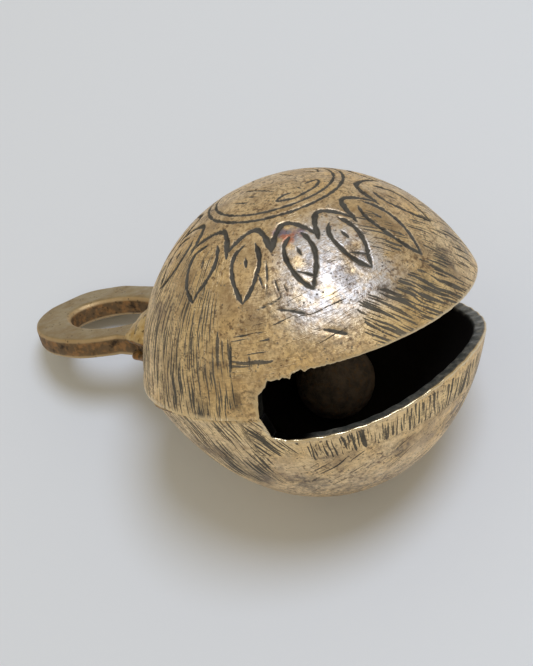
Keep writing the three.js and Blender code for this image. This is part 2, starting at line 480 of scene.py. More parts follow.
def shell_rings(dome, lip_of):
    """The rings of one half shell: out from the pole, round the rim, and back up the inside."""
    sheets = Sheets()
    even = np.linspace(-180, 180, 7201)
    crowding = 1 + 4 * np.exp(-(((np.abs(even) - MOUTH_HALF_ANGLE - 0.5) / 2.2) ** 2))
    place = np.r_[0, np.cumsum((crowding[1:] + crowding[:-1]) / 2)]
    close = np.interp(np.arange(COLUMNS) / COLUMNS * place[-1], place, even)
    azimuths = {COLUMNS: close, COLUMNS // 2: close[::2], COLUMNS // 4: close[::4]}
    degrees = math.degrees(1 / dome["radius"])
    plain_from = 61.0 if dome is UPPER else 20.0
    first_row = ENGRAVED_ROW if dome is UPPER else PLAIN_ROW

    def values(azimuth, distance, edge):
        return np.stack(np.broadcast_arrays(azimuth, distance, edge), axis=1)

    def lip_distance(azimuth, back, inset=0.0):
        lip = lip_of(turned(azimuth), 1.0 if inset == 0 else 0.1)
        return distance_at_height(dome, lip + back, inset)

    def beside_mouth(azimuth, height):
        """How far each place lies sideways from the mouth's end at the same height, in mm."""
        gap = np.full(len(azimuth), 30.0)
        along = np.linspace(MOUTH_HALF_ANGLE + 3, MOUTH_HALF_ANGLE - 8, 400)
        for side in (-1, 1):
            reached = np.maximum.accumulate(lip_of(side * along))
            end = np.interp(height + 0.05, reached, along)
            beyond = np.radians(side * azimuth - end) * SEAM_RADIUS
            here = (side * azimuth > MOUTH_HALF_ANGLE - 4) & (height < reached[-1])
            gap = np.where(here, np.minimum(gap, np.maximum(beyond, 0)), gap)
        return gap

    pole, _ = dome_points(dome, np.zeros(1), np.zeros(1))
    last = sheets.ring(pole, values(np.zeros(1), 0.0, 30.0))
    rounding = 0.5
    fixed = [*np.arange(0.55, plain_from, first_row * degrees)]
    spread = int((76 - plain_from) / (PLAIN_ROW * degrees)) + 6
    for step in range(len(fixed) + spread + 1):
        row = fixed[step] if step < len(fixed) else plain_from
        columns = COLUMNS // 4 if row < 7 else COLUMNS // 2 if row < 34 else COLUMNS
        azimuth = azimuths[columns]
        if step >= len(fixed):
            share = (step - len(fixed)) / spread
            mouth = mouth_end(turned(azimuth), 0.4)
            back = 0.02 + (rounding - 0.02) * mouth
            row = plain_from + (lip_distance(azimuth, back) - plain_from) * share
        points, _ = dome_points(dome, azimuth, row)
        mouth = smooth(0.02, 0.5, lip_of(turned(azimuth)))
        edge = (lip_distance(azimuth, 0) - row) / degrees
        beside = beside_mouth(turned(azimuth), np.abs(points[:, 2]))
        edge = np.minimum(edge + 30 * (1 - mouth), beside)
        ring = sheets.ring(points, values(azimuth, row, edge))
        sheets.join(last, ring)
        last = ring
    azimuth = azimuths[COLUMNS]
    lip = lip_of(turned(azimuth))
    mouth = mouth_end(turned(azimuth), 0.4)
    outer, _ = dome_points(dome, azimuth, lip_distance(azimuth, 0))
    inner, _ = dome_points(dome, azimuth, lip_distance(azimuth, 0, WALL), WALL)
    outer_start, _ = dome_points(dome, azimuth, lip_distance(azimuth, rounding * mouth + 0.02))
    inner_end, _ = dome_points(dome, azimuth, lip_distance(azimuth, 0.45, WALL), WALL)
    across = (inner - outer) / np.linalg.norm(inner - outer, axis=1)[:, None]
    flat_start = outer + across * (rounding * mouth + 0.02)[:, None]
    flat_end = inner - across * 0.4
    rim = []
    for t in np.linspace(0, 1, ROUND_STEPS + 1)[1:]:
        curve = (1 - t) ** 2 * outer_start + 2 * t * (1 - t) * outer + t**2 * flat_start
        rim.append((curve, -0.4 * t))
    for t in (0.33, 0.67, 1.0):
        rim.append((flat_start + (flat_end - flat_start) * t, -0.4 - 1.5 * t))
    for t in np.linspace(0, 1, ROUND_STEPS)[1:]:
        curve = (1 - t) ** 2 * flat_end + 2 * t * (1 - t) * inner + t**2 * inner_end
        rim.append((curve, -1.9 - 0.6 * t))
    for points, edge in rim:
        ring = sheets.ring(points, values(azimuth, lip_distance(azimuth, 0), edge))
        sheets.join(last, ring)
        last = ring
    steps = 26
    for step in range(1, steps):
        columns = COLUMNS // 2 if step < 3 else COLUMNS // 4
        azimuth = azimuths[columns]
        row = lip_distance(azimuth, 0.45, WALL) * (1 - step / steps)
        points, _ = dome_points(dome, azimuth, row, WALL)
        ring = sheets.ring(points, values(azimuth, row, -2.6 - 1.2 * step))
        sheets.join(last, ring)
        last = ring
    pole, _ = dome_points(dome, np.zeros(1), np.zeros(1), WALL)
    sheets.join(last, sheets.ring(pole, values(np.zeros(1), 0.0, -34.0)))
    return sheets


def new_piece(name, points, faces):
    """A mesh object made from points of the bell's frame, shaded smooth."""
    mesh = bpy.data.meshes.new(name)
    mesh.from_pydata(to_world(points).tolist(), [], [tuple(int(i) for i in face) for face in faces])
    mesh.shade_smooth()
    piece = bpy.data.objects.new(name, mesh)
    bpy.context.scene.collection.objects.link(piece)
    return piece


def add_value(piece, name, values):
    """Gives a piece's points a named value for its material to read."""
    attribute = piece.data.attributes.new(name, "FLOAT", "POINT")
    attribute.data.foreach_set("value", np.asarray(values, np.float32))


def add_surface_map(piece, azimuth, distance):
    """A map of the surface in millimetres: round the bell, and down from its pole."""
    mesh = piece.data
    corner = np.zeros(len(mesh.loops), int)
    mesh.loops.foreach_get("vertex_index", corner)
    starts = np.zeros(len(mesh.polygons), int)
    mesh.polygons.foreach_get("loop_start", starts)
    totals = np.zeros(len(mesh.polygons), int)
    mesh.polygons.foreach_get("loop_total", totals)
    first = np.repeat(azimuth[corner[starts]], totals)
    around = first + turned(azimuth[corner] - first)
    uv = np.radians(np.stack([around, distance[corner]], axis=1)) * SEAM_RADIUS
    layer = mesh.uv_layers.new(name="surface")
    layer.data.foreach_set("uv", uv.astype(np.float32).ravel())


def shell(name, dome, lip_of):
    """One half shell with its engraving and dents, and the values that its material reads."""
    sheets = shell_rings(dome, lip_of)
    points = np.concatenate(sheets.points)
    azimuth, distance, edge = np.concatenate(sheets.values).T
    outside = edge > -0.01
    _, normals = dome_points(dome, azimuth, distance)
    field = np.full(len(points), 1.5)
    push = 0.10 * lumps(points, 11, 3) + 0.04 * lumps(points, 4, 5)
    if dome is UPPER:
        near = outside & (distance < 80)
        field[near] = groove_field(points[near])
        push -= 0.42 * smooth(0.05, -0.34, field) - 0.015 * window(0.05, 0.2, 0.15, field)
    height = np.abs(points[:, 2])
    a = turned(azimuth)
    joined = 1 - smooth(0.0, 0.6, lip_of(a))
    proud = joined * (1 - window(-104, 104, 14, a))
    fused = joined * window(-104, 104, 14, a)
    if dome is UPPER:
        push += 0.32 * proud * (1 - smooth(0.5, 1.5, height)) * outside
        push -= 0.12 * fused * (1 - smooth(0, 1.8, height)) * outside
    else:
        push += (0.2 * fused - 0.1 * proud) * (1 - smooth(0.2, 2.4, height)) * outside
    tops = push * np.where(outside, 1, smooth(-1.2, 0, edge))
    points = points + normals * tops[:, None]
    rough = 0.05 * lumps(points, 1.6, 8) * window(-0.3, 0.5, 0.3, edge)
    points[:, 2] += dome["up"] * rough
    faces = sheets.faces if dome["up"] > 0 else [tuple(reversed(face)) for face in sheets.faces]
    piece = new_piece(name, points, faces)
    add_value(piece, "groove", field)
    add_value(piece, "edge", edge)
    strength, angle = filing(dome, azimuth, distance)
    add_value(piece, "filed", strength * outside)
    add_value(piece, "file_angle", angle)
    # painted shade: the rim face is near black at the near end of the mouth on the lower shell, and
    # mostly black along the upper lip
    add_value(piece, "rim_shade", 1 - smooth(-62, -54, a) if dome is LOWER else 0.8 + 0 * a)
    # painted sheen: a silvery patch on the upper dome where the softbox's highlight falls
    painted_sheen = window(-48, -18, 16, a) * window(36, 60, 12, distance) if dome is UPPER else 0 * a
    add_value(piece, "painted_sheen", painted_sheen)
    add_value(piece, "stain_and_shade", spots(STAINS_AND_SHADE[dome["up"]], azimuth, distance))
    add_value(piece, "heat_tint", spots(TINTS if dome is UPPER else [], azimuth, distance))
    worn_rim = joined * window(-180, -80, 6, a) * (1 - smooth(0.35, 0.95, height))
    add_value(piece, "joint", worn_rim * (1.0 if dome is UPPER else 0.35))
    add_surface_map(piece, azimuth, distance)
    return piece


upper_shell = shell("upper_shell_engraved", UPPER, upper_lip)
lower_shell = shell("lower_shell_filed", LOWER, lower_lip)

# ---------------------------------------------------------------- node helpers


def fill(tree, socket, value):
    """Gives a socket a value, or links another node's output to it."""
    if isinstance(value, bpy.types.NodeSocket):
        tree.links.new(value, socket)
    else:
        socket.default_value = value


def put(tree, kind, inputs=None, **settings):
    """A node with its settings and inputs; an input is a value or another node's output."""
    node = tree.nodes.new(kind)
    for name, value in settings.items():
        setattr(node, name, value)
    for name, value in (inputs or {}).items():
        fill(tree, node.inputs[name], value)
    return node


def maths(tree, operation, a, b=0.0):
    """The result of one sum on values or sockets."""
    return put(tree, "ShaderNodeMath", {0: a, 1: b}, operation=operation).outputs[0]


def times(tree, a, b):
    """The product of two values or sockets."""
    return maths(tree, "MULTIPLY", a, b)


def minus(tree, a, b):
    """The difference of two values or sockets."""
    return maths(tree, "SUBTRACT", a, b)


def plus(tree, a, b):
    """The sum of two values or sockets."""
    return maths(tree, "ADD", a, b)


def ramp(tree, value, low, high, to_low=0.0, to_high=1.0):
    """An S-curve from one value to another as the input goes from low to high."""
    ends = {"From Min": low, "From Max": high, "To Min": to_low, "To Max": to_high}
    inputs = {"Value": value, **ends}
    return put(tree, "ShaderNodeMapRange", inputs, interpolation_type="SMOOTHSTEP").outputs[0]


def in_use(sockets):
    """The first of these sockets that the settings of their node leave in use."""
    return next(socket for socket in sockets if socket.enabled)


def blend(tree, share, first, second):
    """A colour between two others."""
    node = put(tree, "ShaderNodeMix", data_type="RGBA")
    for name, value in {"Factor": share, "A": first, "B": second}.items():
        fill(tree, in_use(s for s in node.inputs if s.name == name), value)
    return in_use(node.outputs)


def blend_value(tree, share, first, second):
    """A value between two others."""
    node = put(tree, "ShaderNodeMix", {"Factor": share, "A": first, "B": second}, data_type="FLOAT")
    return node.outputs[0]


def named(tree, name):
    """A value that the piece carries at its points."""
    return put(tree, "ShaderNodeAttribute", attribute_name=name).outputs["Fac"]


def grain(tree, vector, scale, detail=2.0, roughness=0.5):
    """Noise with that many features to each unit of its vector."""
    inputs = {"Vector": vector, "Scale": scale, "Detail": detail, "Roughness": roughness}
    return put(tree, "ShaderNodeTexNoise", inputs).outputs["Fac"]


def waver(tree, vector, scale, detail, size, roughness=0.5):
    """Noise that swings evenly about 0, by up to half its size."""
    noise_value = grain(tree, vector, scale, detail, roughness)
    return times(tree, minus(tree, noise_value, 0.5), size)


def add_inputs(tree, inputs):
    """Gives a tree its inputs: each name with a default, or with a kind that has none."""
    for name, default in inputs.items():
        kind = {float: "Float", int: "Int"}.get(type(default), default)
        socket = tree.interface.new_socket(name, in_out="INPUT", socket_type="NodeSocket" + kind)
        if kind != default:
            socket.default_value = default


def new_group(name, inputs):
    """A shader group with nothing between its inputs and its mask."""
    group = bpy.data.node_groups.new(name, "ShaderNodeTree")
    add_inputs(group, inputs)
    group.interface.new_socket("Mask", in_out="OUTPUT", socket_type="NodeSocketFloat")
    given = group.nodes.new("NodeGroupInput").outputs
    return group, given, group.nodes.new("NodeGroupOutput").inputs["Mask"]


def use_group(tree, group, inputs):
    """The outputs of a group placed in a tree with these values."""
    node = put(tree, "ShaderNodeGroup", node_tree=group)
    for name, value in inputs.items():
        fill(tree, node.inputs[name], value)
    return node.outputs


# ---------------------------------------------------------------- the hanging loop

LOOP_CENTRE, LOOP_LENGTH, LOOP_WIDTH = -53.4, 34.6, 25.4
LOOP_THICKNESS = 4.3
EYE_CENTRE, EYE_LENGTH, EYE_WIDTH = -51.6, 21.8, 13.2
FOOT_WIDTH, FOOT_END = 19.0, -30.6


def loop_outline(angle):
    """Distance from the eye's centre to the loop's outer edge, at angles round the eye."""
    directions = np.stack([np.cos(angle), np.sin(angle)], axis=1)
    offset = LOOP_CENTRE - EYE_CENTRE
    reach = np.linspace(5, 26, 1200)
    x = reach[None, :] * directions[:, :1] - offset
    y = reach[None, :] * directions[:, 1:]
    power = 2.0 + 0.35 * smooth(2, 10, y) * smooth(2, -8, x)
    oval = np.abs(2 * x / LOOP_LENGTH) ** power + np.abs(2 * y / LOOP_WIDTH) ** power < 1
    foot_x = x + LOOP_CENTRE
    half = FOOT_WIDTH / 2 + 1.6 * smooth(-38, -32, foot_x) ** 2
    foot = (np.abs(y) < half) & (foot_x < FOOT_END) & (foot_x > -44)
    inside = oval | foot
    return reach[inside.shape[1] - 1 - np.argmax(inside[:, ::-1], axis=1)]


def loop_plate():
    """The loop as rings of sections round its eye: inner wall, top face, outer wall, bottom."""
    columns = 440
    angle = np.linspace(-math.pi, math.pi, columns, endpoint=False)
    inner = 0.5 / np.sqrt((np.cos(angle) / EYE_LENGTH) ** 2 + (np.sin(angle) / EYE_WIDTH) ** 2)
    outer = loop_outline(angle)
    kernel = np.hanning(9) / np.hanning(9).sum()
    outer = np.convolve(np.r_[outer[-4:], outer, outer[:4]], kernel, mode="valid")
    half = LOOP_THICKNESS / 2
    inner_round, outer_round, quarter = 1.25, 0.8, np.linspace(0, math.pi / 2, 6)
    low, high = inner + inner_round, outer - outer_round
    profile = [(inner, 0.0)]
    for t in quarter:
        profile.append((low - inner_round * math.cos(t), half - inner_round * (1 - math.sin(t))))
    profile += [(low + (high - low) * t, half) for t in np.linspace(0, 1, 16)[1:-1]]
    for t in quarter:
        profile.append((high + outer_round * math.sin(t), half - outer_round * (1 - math.cos(t))))
    profile.append((outer, 0.0))
    under = [(radius, -height) for radius, height in reversed(profile[1:-1])]
    sheets = Sheets()
    rings = []
    for radius, height in [*profile, *under]:
        points = round_axis(radius, angle, np.full(columns, height)) + [EYE_CENTRE, 0, 0]
        rings.append(sheets.ring(points, points))
    for ring, following in zip(rings, rings[1:] + rings[:1]):
        sheets.join(following, ring)
    points = np.concatenate(sheets.points)
    side = 1 - smooth(half - 1.2, half - 0.1, np.abs(points[:, 2]))
    normals = shape_normals(points, sheets.faces)
    push = 0.13 * lumps(points, 5.5, 21) + (0.03 + 0.10 * side) * lumps(points, 1.6, 22)
    points = points + normals * push[:, None]
    piece = new_piece("hanging_loop_cast", points, sheets.faces)
    from_edge = np.minimum(half - np.abs(points[:, 2]), 3)
    add_value(piece, "side", side)
    add_value(piece, "from_face", from_edge)
    return piece


def shape_normals(points, faces):
    """Outward normals at the points of a mesh."""
    total = np.zeros_like(points)
    for face in faces:
        corners = points[list(face)]
        normal = np.cross(corners[1] - corners[0], corners[2] - corners[0])
        total[list(face)] += normal
    return total / np.maximum(np.linalg.norm(total, axis=1), 1e-9)[:, None]


hanging_loop = loop_plate()

# ---------------------------------------------------------------- braze


def new_tree(name, inputs):
    """A geometry tree with an input and an output geometry, and more inputs."""
    tree = bpy.data.node_groups.new(name, "GeometryNodeTree")
    tree.interface.new_socket("Geometry", in_out="INPUT", socket_type="NodeSocketGeometry")
    tree.interface.new_socket("Geometry", in_out="OUTPUT", socket_type="NodeSocketGeometry")
    add_inputs(tree, inputs)
    return tree, tree.nodes.new("NodeGroupInput").outputs, tree.nodes.new("NodeGroupOutput").inputs


def carried_size(tree, kind):
    """The bead_size that the points of a mesh carry."""
    name = {"Name": "bead_size"}
    return in_use(put(tree, "GeometryNodeInputNamedAttribute", name, data_type=kind).outputs)


def finish_tree(tree, geometry, material, result):
    """Realize Instances and Set Material, which every tree ends in."""
    real = put(tree, "GeometryNodeRealizeInstances", {"Geometry": geometry})
    coated = {"Geometry": real.outputs[0], "Material": material}
    final = put(tree, "GeometryNodeSetMaterial", coated)
    tree.links.new(final.outputs[0], result["Geometry"])


def grown(name, mesh, tree, values, modifiers=()):
    """What a geometry tree makes from a mesh, as a plain mesh in the bell's frame."""
    base = bpy.data.objects.new(name, mesh)
    bpy.context.scene.collection.objects.link(base)
    modifier = base.modifiers.new("grow", "NODES")
    modifier.node_group = tree
    for item in tree.interface.items_tree:
        if item.in_out == "INPUT" and item.name in values:
            modifier[item.identifier] = values[item.name]
    for kind, settings in modifiers:
        extra = base.modifiers.new(kind.lower(), kind)
        for setting, value in settings.items():
            setattr(extra, setting, value)
    evaluated = base.evaluated_get(bpy.context.evaluated_depsgraph_get())
    result = bpy.data.meshes.new_from_object(evaluated)
    bpy.data.objects.remove(base)
    return result


def make_bead_tree():
    """Round beads of braze at the points of a mesh, each of them scaled by its own bead_size."""
    inputs = {"Unevenness": 0.12, "Seed": 0, "Braze": "Material"}
    tree, given, result = new_tree("beads_on_points", inputs)
    points = put(tree, "GeometryNodeMeshToPoints", {"Mesh": given["Geometry"]})
    ball = put(tree, "GeometryNodeMeshIcoSphere", {"Radius": MM, "Subdivisions": 3})
    size = carried_size(tree, "FLOAT_VECTOR")
    least = put(tree, "ShaderNodeMath", {0: 1.0, 1: given["Unevenness"]}, operation="SUBTRACT")
    most = put(tree, "ShaderNodeMath", {0: 1.0, 1: given["Unevenness"]}, operation="ADD")
    values = {2: least.outputs[0], 3: most.outputs[0], "Seed": given["Seed"]}
    uneven = put(tree, "FunctionNodeRandomValue", values, data_type="FLOAT")
    share = in_use(uneven.outputs)
    scale = put(tree, "ShaderNodeVectorMath", {0: size, "Scale": share}, operation="SCALE")
    placed = put(
        tree,
        "GeometryNodeInstanceOnPoints",
        {"Points": points.outputs[0], "Instance": ball.outputs["Mesh"], "Scale": scale.outputs[0]},
    )
    finish_tree(tree, placed.outputs[0], given["Braze"], result)
    return tree


def make_seam_tree():
    """A bead of braze laid along a path, its thickness rising and falling."""
    inputs = {"Thickness": MM, "Unevenness": 0.3, "Lump Size": 2 * MM, "Seed": 0.0}
    tree, given, result = new_tree("bead_along_path", {**inputs, "Braze": "Material"})
    path = put(tree, "GeometryNodeMeshToCurve", {"Mesh": given["Geometry"]})
    place = put(tree, "GeometryNodeInputPosition")
    scale = maths(tree, "DIVIDE", 1.0, given["Lump Size"])
    inputs = {"Vector": place.outputs[0], "Scale": scale, "W": given["Seed"], "Detail": 2.0}
    lump = put(tree, "ShaderNodeTexNoise", inputs, noise_dimensions="4D").outputs[0]
    swell = times(tree, minus(tree, lump, 0.5), given["Unevenness"])
    share = carried_size(tree, "FLOAT")
    swelling = times(tree, plus(tree, times(tree, swell, 4.0), 1.0), share)
    sized = put(tree, "GeometryNodeSetCurveRadius", {"Curve": path.outputs[0], "Radius": swelling})
    round_section = {"Resolution": 12, "Radius": given["Thickness"]}
    section = put(tree, "GeometryNodeCurvePrimitiveCircle", round_section)
    values = {"Curve": sized.outputs[0], "Profile Curve": section.outputs[0], "Fill Caps": True}
    bead = put(tree, "GeometryNodeCurveToMesh", values)
    if "Scale" in bead.inputs:
        tree.links.new(swelling, bead.inputs["Scale"])
    finish_tree(tree, bead.outputs[0], given["Braze"], result)
    return tree


bead_tree, seam_tree = make_bead_tree(), make_seam_tree()


def point_mesh(name, points, sizes, joined=False):
    """Points of the bell's frame as a mesh, each with its bead_size."""
    mesh = bpy.data.meshes.new(name)
    edges = [(i, i + 1) for i in range(len(points) - 1)] if joined else []
    mesh.from_pydata((np.array(points) * MM).tolist(), edges, [])
    sizes = np.array(sizes, np.float32)
    kind, field = ("FLOAT_VECTOR", "vector") if sizes.ndim == 2 else ("FLOAT", "value")
    mesh.attributes.new("bead_size", kind, "POINT").data.foreach_set(field, sizes.ravel())
    return mesh


def cast_piece(name, mesh, seed, roughness):
    """A piece from a mesh in the bell's frame, with a lumpy skin."""
    points = np.array([v.co for v in mesh.vertices]) / MM
    normals = np.array([v.normal for v in mesh.vertices])
    faces = [tuple(p.vertices) for p in mesh.polygons]
    push = roughness * (lumps(points, 2.6, seed) + 0.6 * lumps(points, 1.1, seed + 1))
    piece = new_piece(name, points + normals * push[:, None], faces)
    # painted shade: the lower fillet, under the loop, counts as facing down all over, so its braze
    # is drawn in the shaded brown
    below = smooth(0.2, -1.2, points[:, 2]) if name.startswith("loop") else 0
    add_value(piece, "facing_up", normals[:, 2] - below)
    return piece


def loop_fillet(name, side, seed):
    """The lumpy braze in the corner between one face of the loop's foot and the shell."""
    draw = np.random.default_rng(seed)
    beads = []
    for index in range(34):
        y = -8.6 + 18.3 * (index + draw.uniform(-0.5, 0.5)) / 33
        across = (index * 0.618) % 1.0
        near = smooth(-3.5, -9.4, y)
        low = near * (1.0 if side < 0 else 0.55)
        toe = -38.9 + 2.6 * near + 0.9 * smooth(5, 10.6, y)
        x = toe + (-33.0 - toe) * across + draw.uniform(-0.3, 0.3)
        z = 2.3 + 1.6 * across - (0.6 + 0.3 * across) * low
        thick = (1.8 + 1.5 * across - (0.7 + 0.7 * across) * low) * draw.uniform(0.85, 1.08)
        beads.append(((x, y, side * z), (2.8, 2.8, thick)))
    beads.append(((-33.4, 11.4, side * 2.6), (2.6, 1.2, 1.8)))
    beads.append(((-33.6, -10.6, side * 1.7), (2.3, 1.1, 1.1)))
    beads.append(((-37.0, -9.9, side * 1.75), (1.6, 0.8, 0.8)))
    places, sizes = zip(*beads)
    values = {"Seed": seed, "Unevenness": 0.06}
    remesh = ("REMESH", {"mode": "VOXEL", "voxel_size": 0.3 * MM})
    relax = ("SMOOTH", {"iterations": 30, "factor": 0.7})
    melted = grown(name, point_mesh(name, places, sizes), bead_tree, values, (remesh, relax))
    return cast_piece(name, melted, seed, 0.16)


def seam_bead(name, side, seed):
    """The thin bead of braze along the seam, worn level where the rims are filed flush."""
    azimuth = side * np.linspace(MOUTH_HALF_ANGLE + 1.6, 180 - 15, 420)
    flush = window(-104, 104, 14, azimuth)
    path = np.stack([np.radians(azimuth) * SEAM_RADIUS, 0 * azimuth, 0 * azimuth], axis=1)
    reach = LOWER["radius"] + 0.02 - 0.42 * flush
    level = -0.25 + 0.15 * lumps(path, 4, seed)
    angle = np.radians(azimuth)
    points = round_axis(reach, angle, level)
    ends = np.minimum(np.arange(len(azimuth)), np.arange(len(azimuth))[::-1]) / 8
    sizes = (1 - 0.25 * flush) * np.sqrt(np.clip(ends, 0.05, 1))
    values = {"Thickness": 0.55 * MM, "Unevenness": 0.3, "Lump Size": 2.4 * MM, "Seed": float(seed)}
    bead = grown(name, point_mesh(name, points, sizes, True), seam_tree, values)
    return cast_piece(name, bead, seed, 0.05)


upper_fillet = loop_fillet("loop_fillet_upper_lumpy", 1, 31)
lower_fillet = loop_fillet("loop_fillet_lower_lumpy", -1, 47)
near_bead = seam_bead("seam_braze_near_bead", -1, 51)
far_bead = seam_bead("seam_braze_far_bead", 1, 61)

# ---------------------------------------------------------------- the pellet


def rusty_pellet():
    """The loose ball in the cavity, a little dented and uneven."""
    bm = bmesh.new()
    bmesh.ops.create_icosphere(bm, subdivisions=6, radius=1)
    directions = np.array([v.co for v in bm.verts])
    faces = [tuple(v.index for v in face.verts) for face in bm.faces]
    bm.free()
    radius = (pellet_high.x - pellet_low.x) / 2 / MM
    places = directions * radius
    dents = 0.14 * lumps(places, 3.5, 71) + 0.06 * lumps(places, 1.1, 72, 2)
    middle = to_bell(np.array(pellet_centre)[None, :])
    return new_piece("pellet_rusty", middle + directions * (radius - 0.12 + dents)[:, None], faces)


pellet = rusty_pellet()

# ---------------------------------------------------------------- effects shared by the metals


def make_file_marks():
    """The tapered strokes of a coarse file, one in each cell of a slanting grid."""
    shape = {"Angle": 0.0, "Spacing": 0.9, "Length": 9.0, "Width": 0.25, "Amount": 1.0}
    unevenness = {"Seed": 0.0, "Bend": 0.0, "Ragged": 0.0}
    group, given, mask_out = new_group("file_marks", {"Surface": "Vector", **shape, **unevenness})

    def act(operation, a, b=0.0):
        return maths(group, operation, a, b)

    inputs = {"Vector": given["Surface"], "Angle": given["Angle"]}
    turn = put(group, "ShaderNodeVectorRotate", inputs, rotation_type="Z_AXIS")
    split = put(group, "ShaderNodeSeparateXYZ", {0: turn.outputs[0]})
    across = act("ADD", act("DIVIDE", split.outputs[0], given["Spacing"]), given["Bend"])
    column = act("FLOOR", across)
    stagger = put(group, "ShaderNodeCombineXYZ", {0: column, 1: given["Seed"], 2: 3.7})
    shift = put(group, "ShaderNodeTexWhiteNoise", {"Vector": stagger.outputs[0]}).outputs["Value"]
    along = act("ADD", act("DIVIDE", split.outputs[1], given["Length"]), shift)
    row = act("FLOOR", along)
    cell = put(group, "ShaderNodeCombineXYZ", {0: column, 1: row, 2: given["Seed"]})
    draw = put(group, "ShaderNodeTexWhiteNoise", {"Vector": cell.outputs[0]})
    parts = put(group, "ShaderNodeSeparateColor", {0: draw.outputs["Color"]})
    off_middle = act("MULTIPLY", act("SUBTRACT", parts.outputs[0], 0.5), 0.5)
    from_middle = act("SUBTRACT", act("FRACT", along), 0.5)
    lean = act("MULTIPLY", act("SUBTRACT", parts.outputs[1], 0.5), 0.5)
    sideways = act("SUBTRACT", act("SUBTRACT", act("FRACT", across), 0.5), off_middle)
    sideways = act("ABSOLUTE", act("SUBTRACT", sideways, act("MULTIPLY", lean, from_middle)))
    half_length = act("ADD", act("MULTIPLY", parts.outputs[2], 0.26), 0.22)
    taper = act("POWER", act("ABSOLUTE", act("DIVIDE", from_middle, half_length)), 2.0)
    size = act("ADD", act("MULTIPLY", parts.outputs[2], 0.6), 0.4)
    threshold = act("MULTIPLY", draw.outputs["Value"], 0.85)
    strength = act("MULTIPLY", act("SUBTRACT", given["Amount"], threshold), 5.0)
    strength = act("MINIMUM", strength, 1.0)
    size = act("MULTIPLY", size, act("MAXIMUM", strength, 0.0))
    half_width = act("MULTIPLY", act("MULTIPLY", given["Width"], size), act("SUBTRACT", 1.0, taper))
    inside = act("ADD", act("SUBTRACT", half_width, sideways), given["Ragged"])
    mask = ramp(group, inside, -0.02, 0.07)
    whole = act("LESS_THAN", taper, 1.0)
    chosen = act("GREATER_THAN", strength, 0.02)
    group.links.new(act("MULTIPLY", mask, act("MULTIPLY", whole, chosen)), mask_out)
    return group


def make_mottle():
    """Cloudy patches of tarnish."""
    inputs = {"Place": "Vector", "Size": 5.0, "Low": 0.45, "High": 0.65, "Seed": 0.0}
    group, given, mask_out = new_group("mottle", inputs)
    shift = put(group, "ShaderNodeCombineXYZ", dict.fromkeys(range(3), given["Seed"]))
    places = {0: given["Place"], 1: shift.outputs[0]}
    place = put(group, "ShaderNodeVectorMath", places, operation="ADD")
    scale = maths(group, "DIVIDE", 1.0, given["Size"])
    cloud = grain(group, place.outputs[0], scale, 6.0, 0.62)
    group.links.new(ramp(group, cloud, given["Low"], given["High"]), mask_out)
    return group


def make_pits():
    """Small pits left by the casting."""
    inputs = {"Place": "Vector", "Size": 0.8, "Amount": 0.5}
    group, given, mask_out = new_group("casting_pits", inputs)
    scale = maths(group, "DIVIDE", 1.0, given["Size"])
    inputs = {"Vector": given["Place"], "Scale": scale, "Randomness": 1.0}
    cells = put(group, "ShaderNodeTexVoronoi", inputs)
    pit = ramp(group, cells.outputs["Distance"], 0.30, 0.12)
    spread = ramp(group, grain(group, given["Place"], 0.22, 3.0), 0.62, 0.44)
    chosen = put(group, "ShaderNodeSeparateColor", {0: cells.outputs["Color"]})
    some = maths(group, "LESS_THAN", chosen.outputs[0], given["Amount"])
    mask = times(group, times(group, pit, some), spread)
    group.links.new(mask, mask_out)
    return group


file_marks = make_file_marks()
mottle = make_mottle()
casting_pits = make_pits()


def cloudy(tree, place):
    """The mottle group in one material, as a function of its size, low and high end, and seed."""

    def patches(size, low, high, seed):
        values = {"Place": place, "Size": size, "Low": low, "High": high, "Seed": seed}
        return use_group(tree, mottle, values)["Mask"]

    return patches


def pitted(tree, place, size, amount):
    """The casting_pits group in one material."""
    return use_group(tree, casting_pits, {"Place": place, "Size": size, "Amount": amount})["Mask"]


def millimetres(tree):
    """Object coordinates, in millimetres."""
    coordinates = put(tree, "ShaderNodeTexCoord")
    scale = put(tree, "ShaderNodeVectorMath", {0: coordinates.outputs["Object"]}, operation="SCALE")
    scale.inputs["Scale"].default_value = 1000.0
    return scale.outputs[0]


def new_material(name):
    """A material, its tree and its empty shader."""
    material = bpy.data.materials.new(name)
    material.use_nodes = True
    tree = material.node_tree
    tree.nodes.clear()
    shader = tree.nodes.new("ShaderNodeBsdfPrincipled")
    output = tree.nodes.new("ShaderNodeOutputMaterial")
    tree.links.new(shader.outputs[0], output.inputs["Surface"])
    return material, tree, shader


def set_shader(tree, shader, values):
    """Fills the named sockets of a material's shader."""
    for name, value in values.items():
        fill(tree, shader.inputs[name], value)


def relief(tree, height, strength):
    """A bump whose height is in millimetres."""
    inputs = {"Height": height, "Distance": MM, "Strength": strength}
    return put(tree, "ShaderNodeBump", inputs).outputs[0]


# ---------------------------------------------------------------- colours

FRESH_BRASS = (1.0, 0.75, 0.385, 1)
WORN_BRASS = (0.92, 0.71, 0.43, 1)
GOLDEN_BRASS = (0.90, 0.63, 0.30, 1)
SANDY_BRASS = (0.50, 0.34, 0.185, 1)
BROWN_BRASS = (0.34, 0.23, 0.13, 1)
# painted sheen, for the highlight on the upper dome
SILVER_SHEEN = (0.66, 0.615, 0.57, 1)
DIRT = (0.060, 0.050, 0.036, 1)
GREY_RIM = (0.10, 0.10, 0.085, 1)
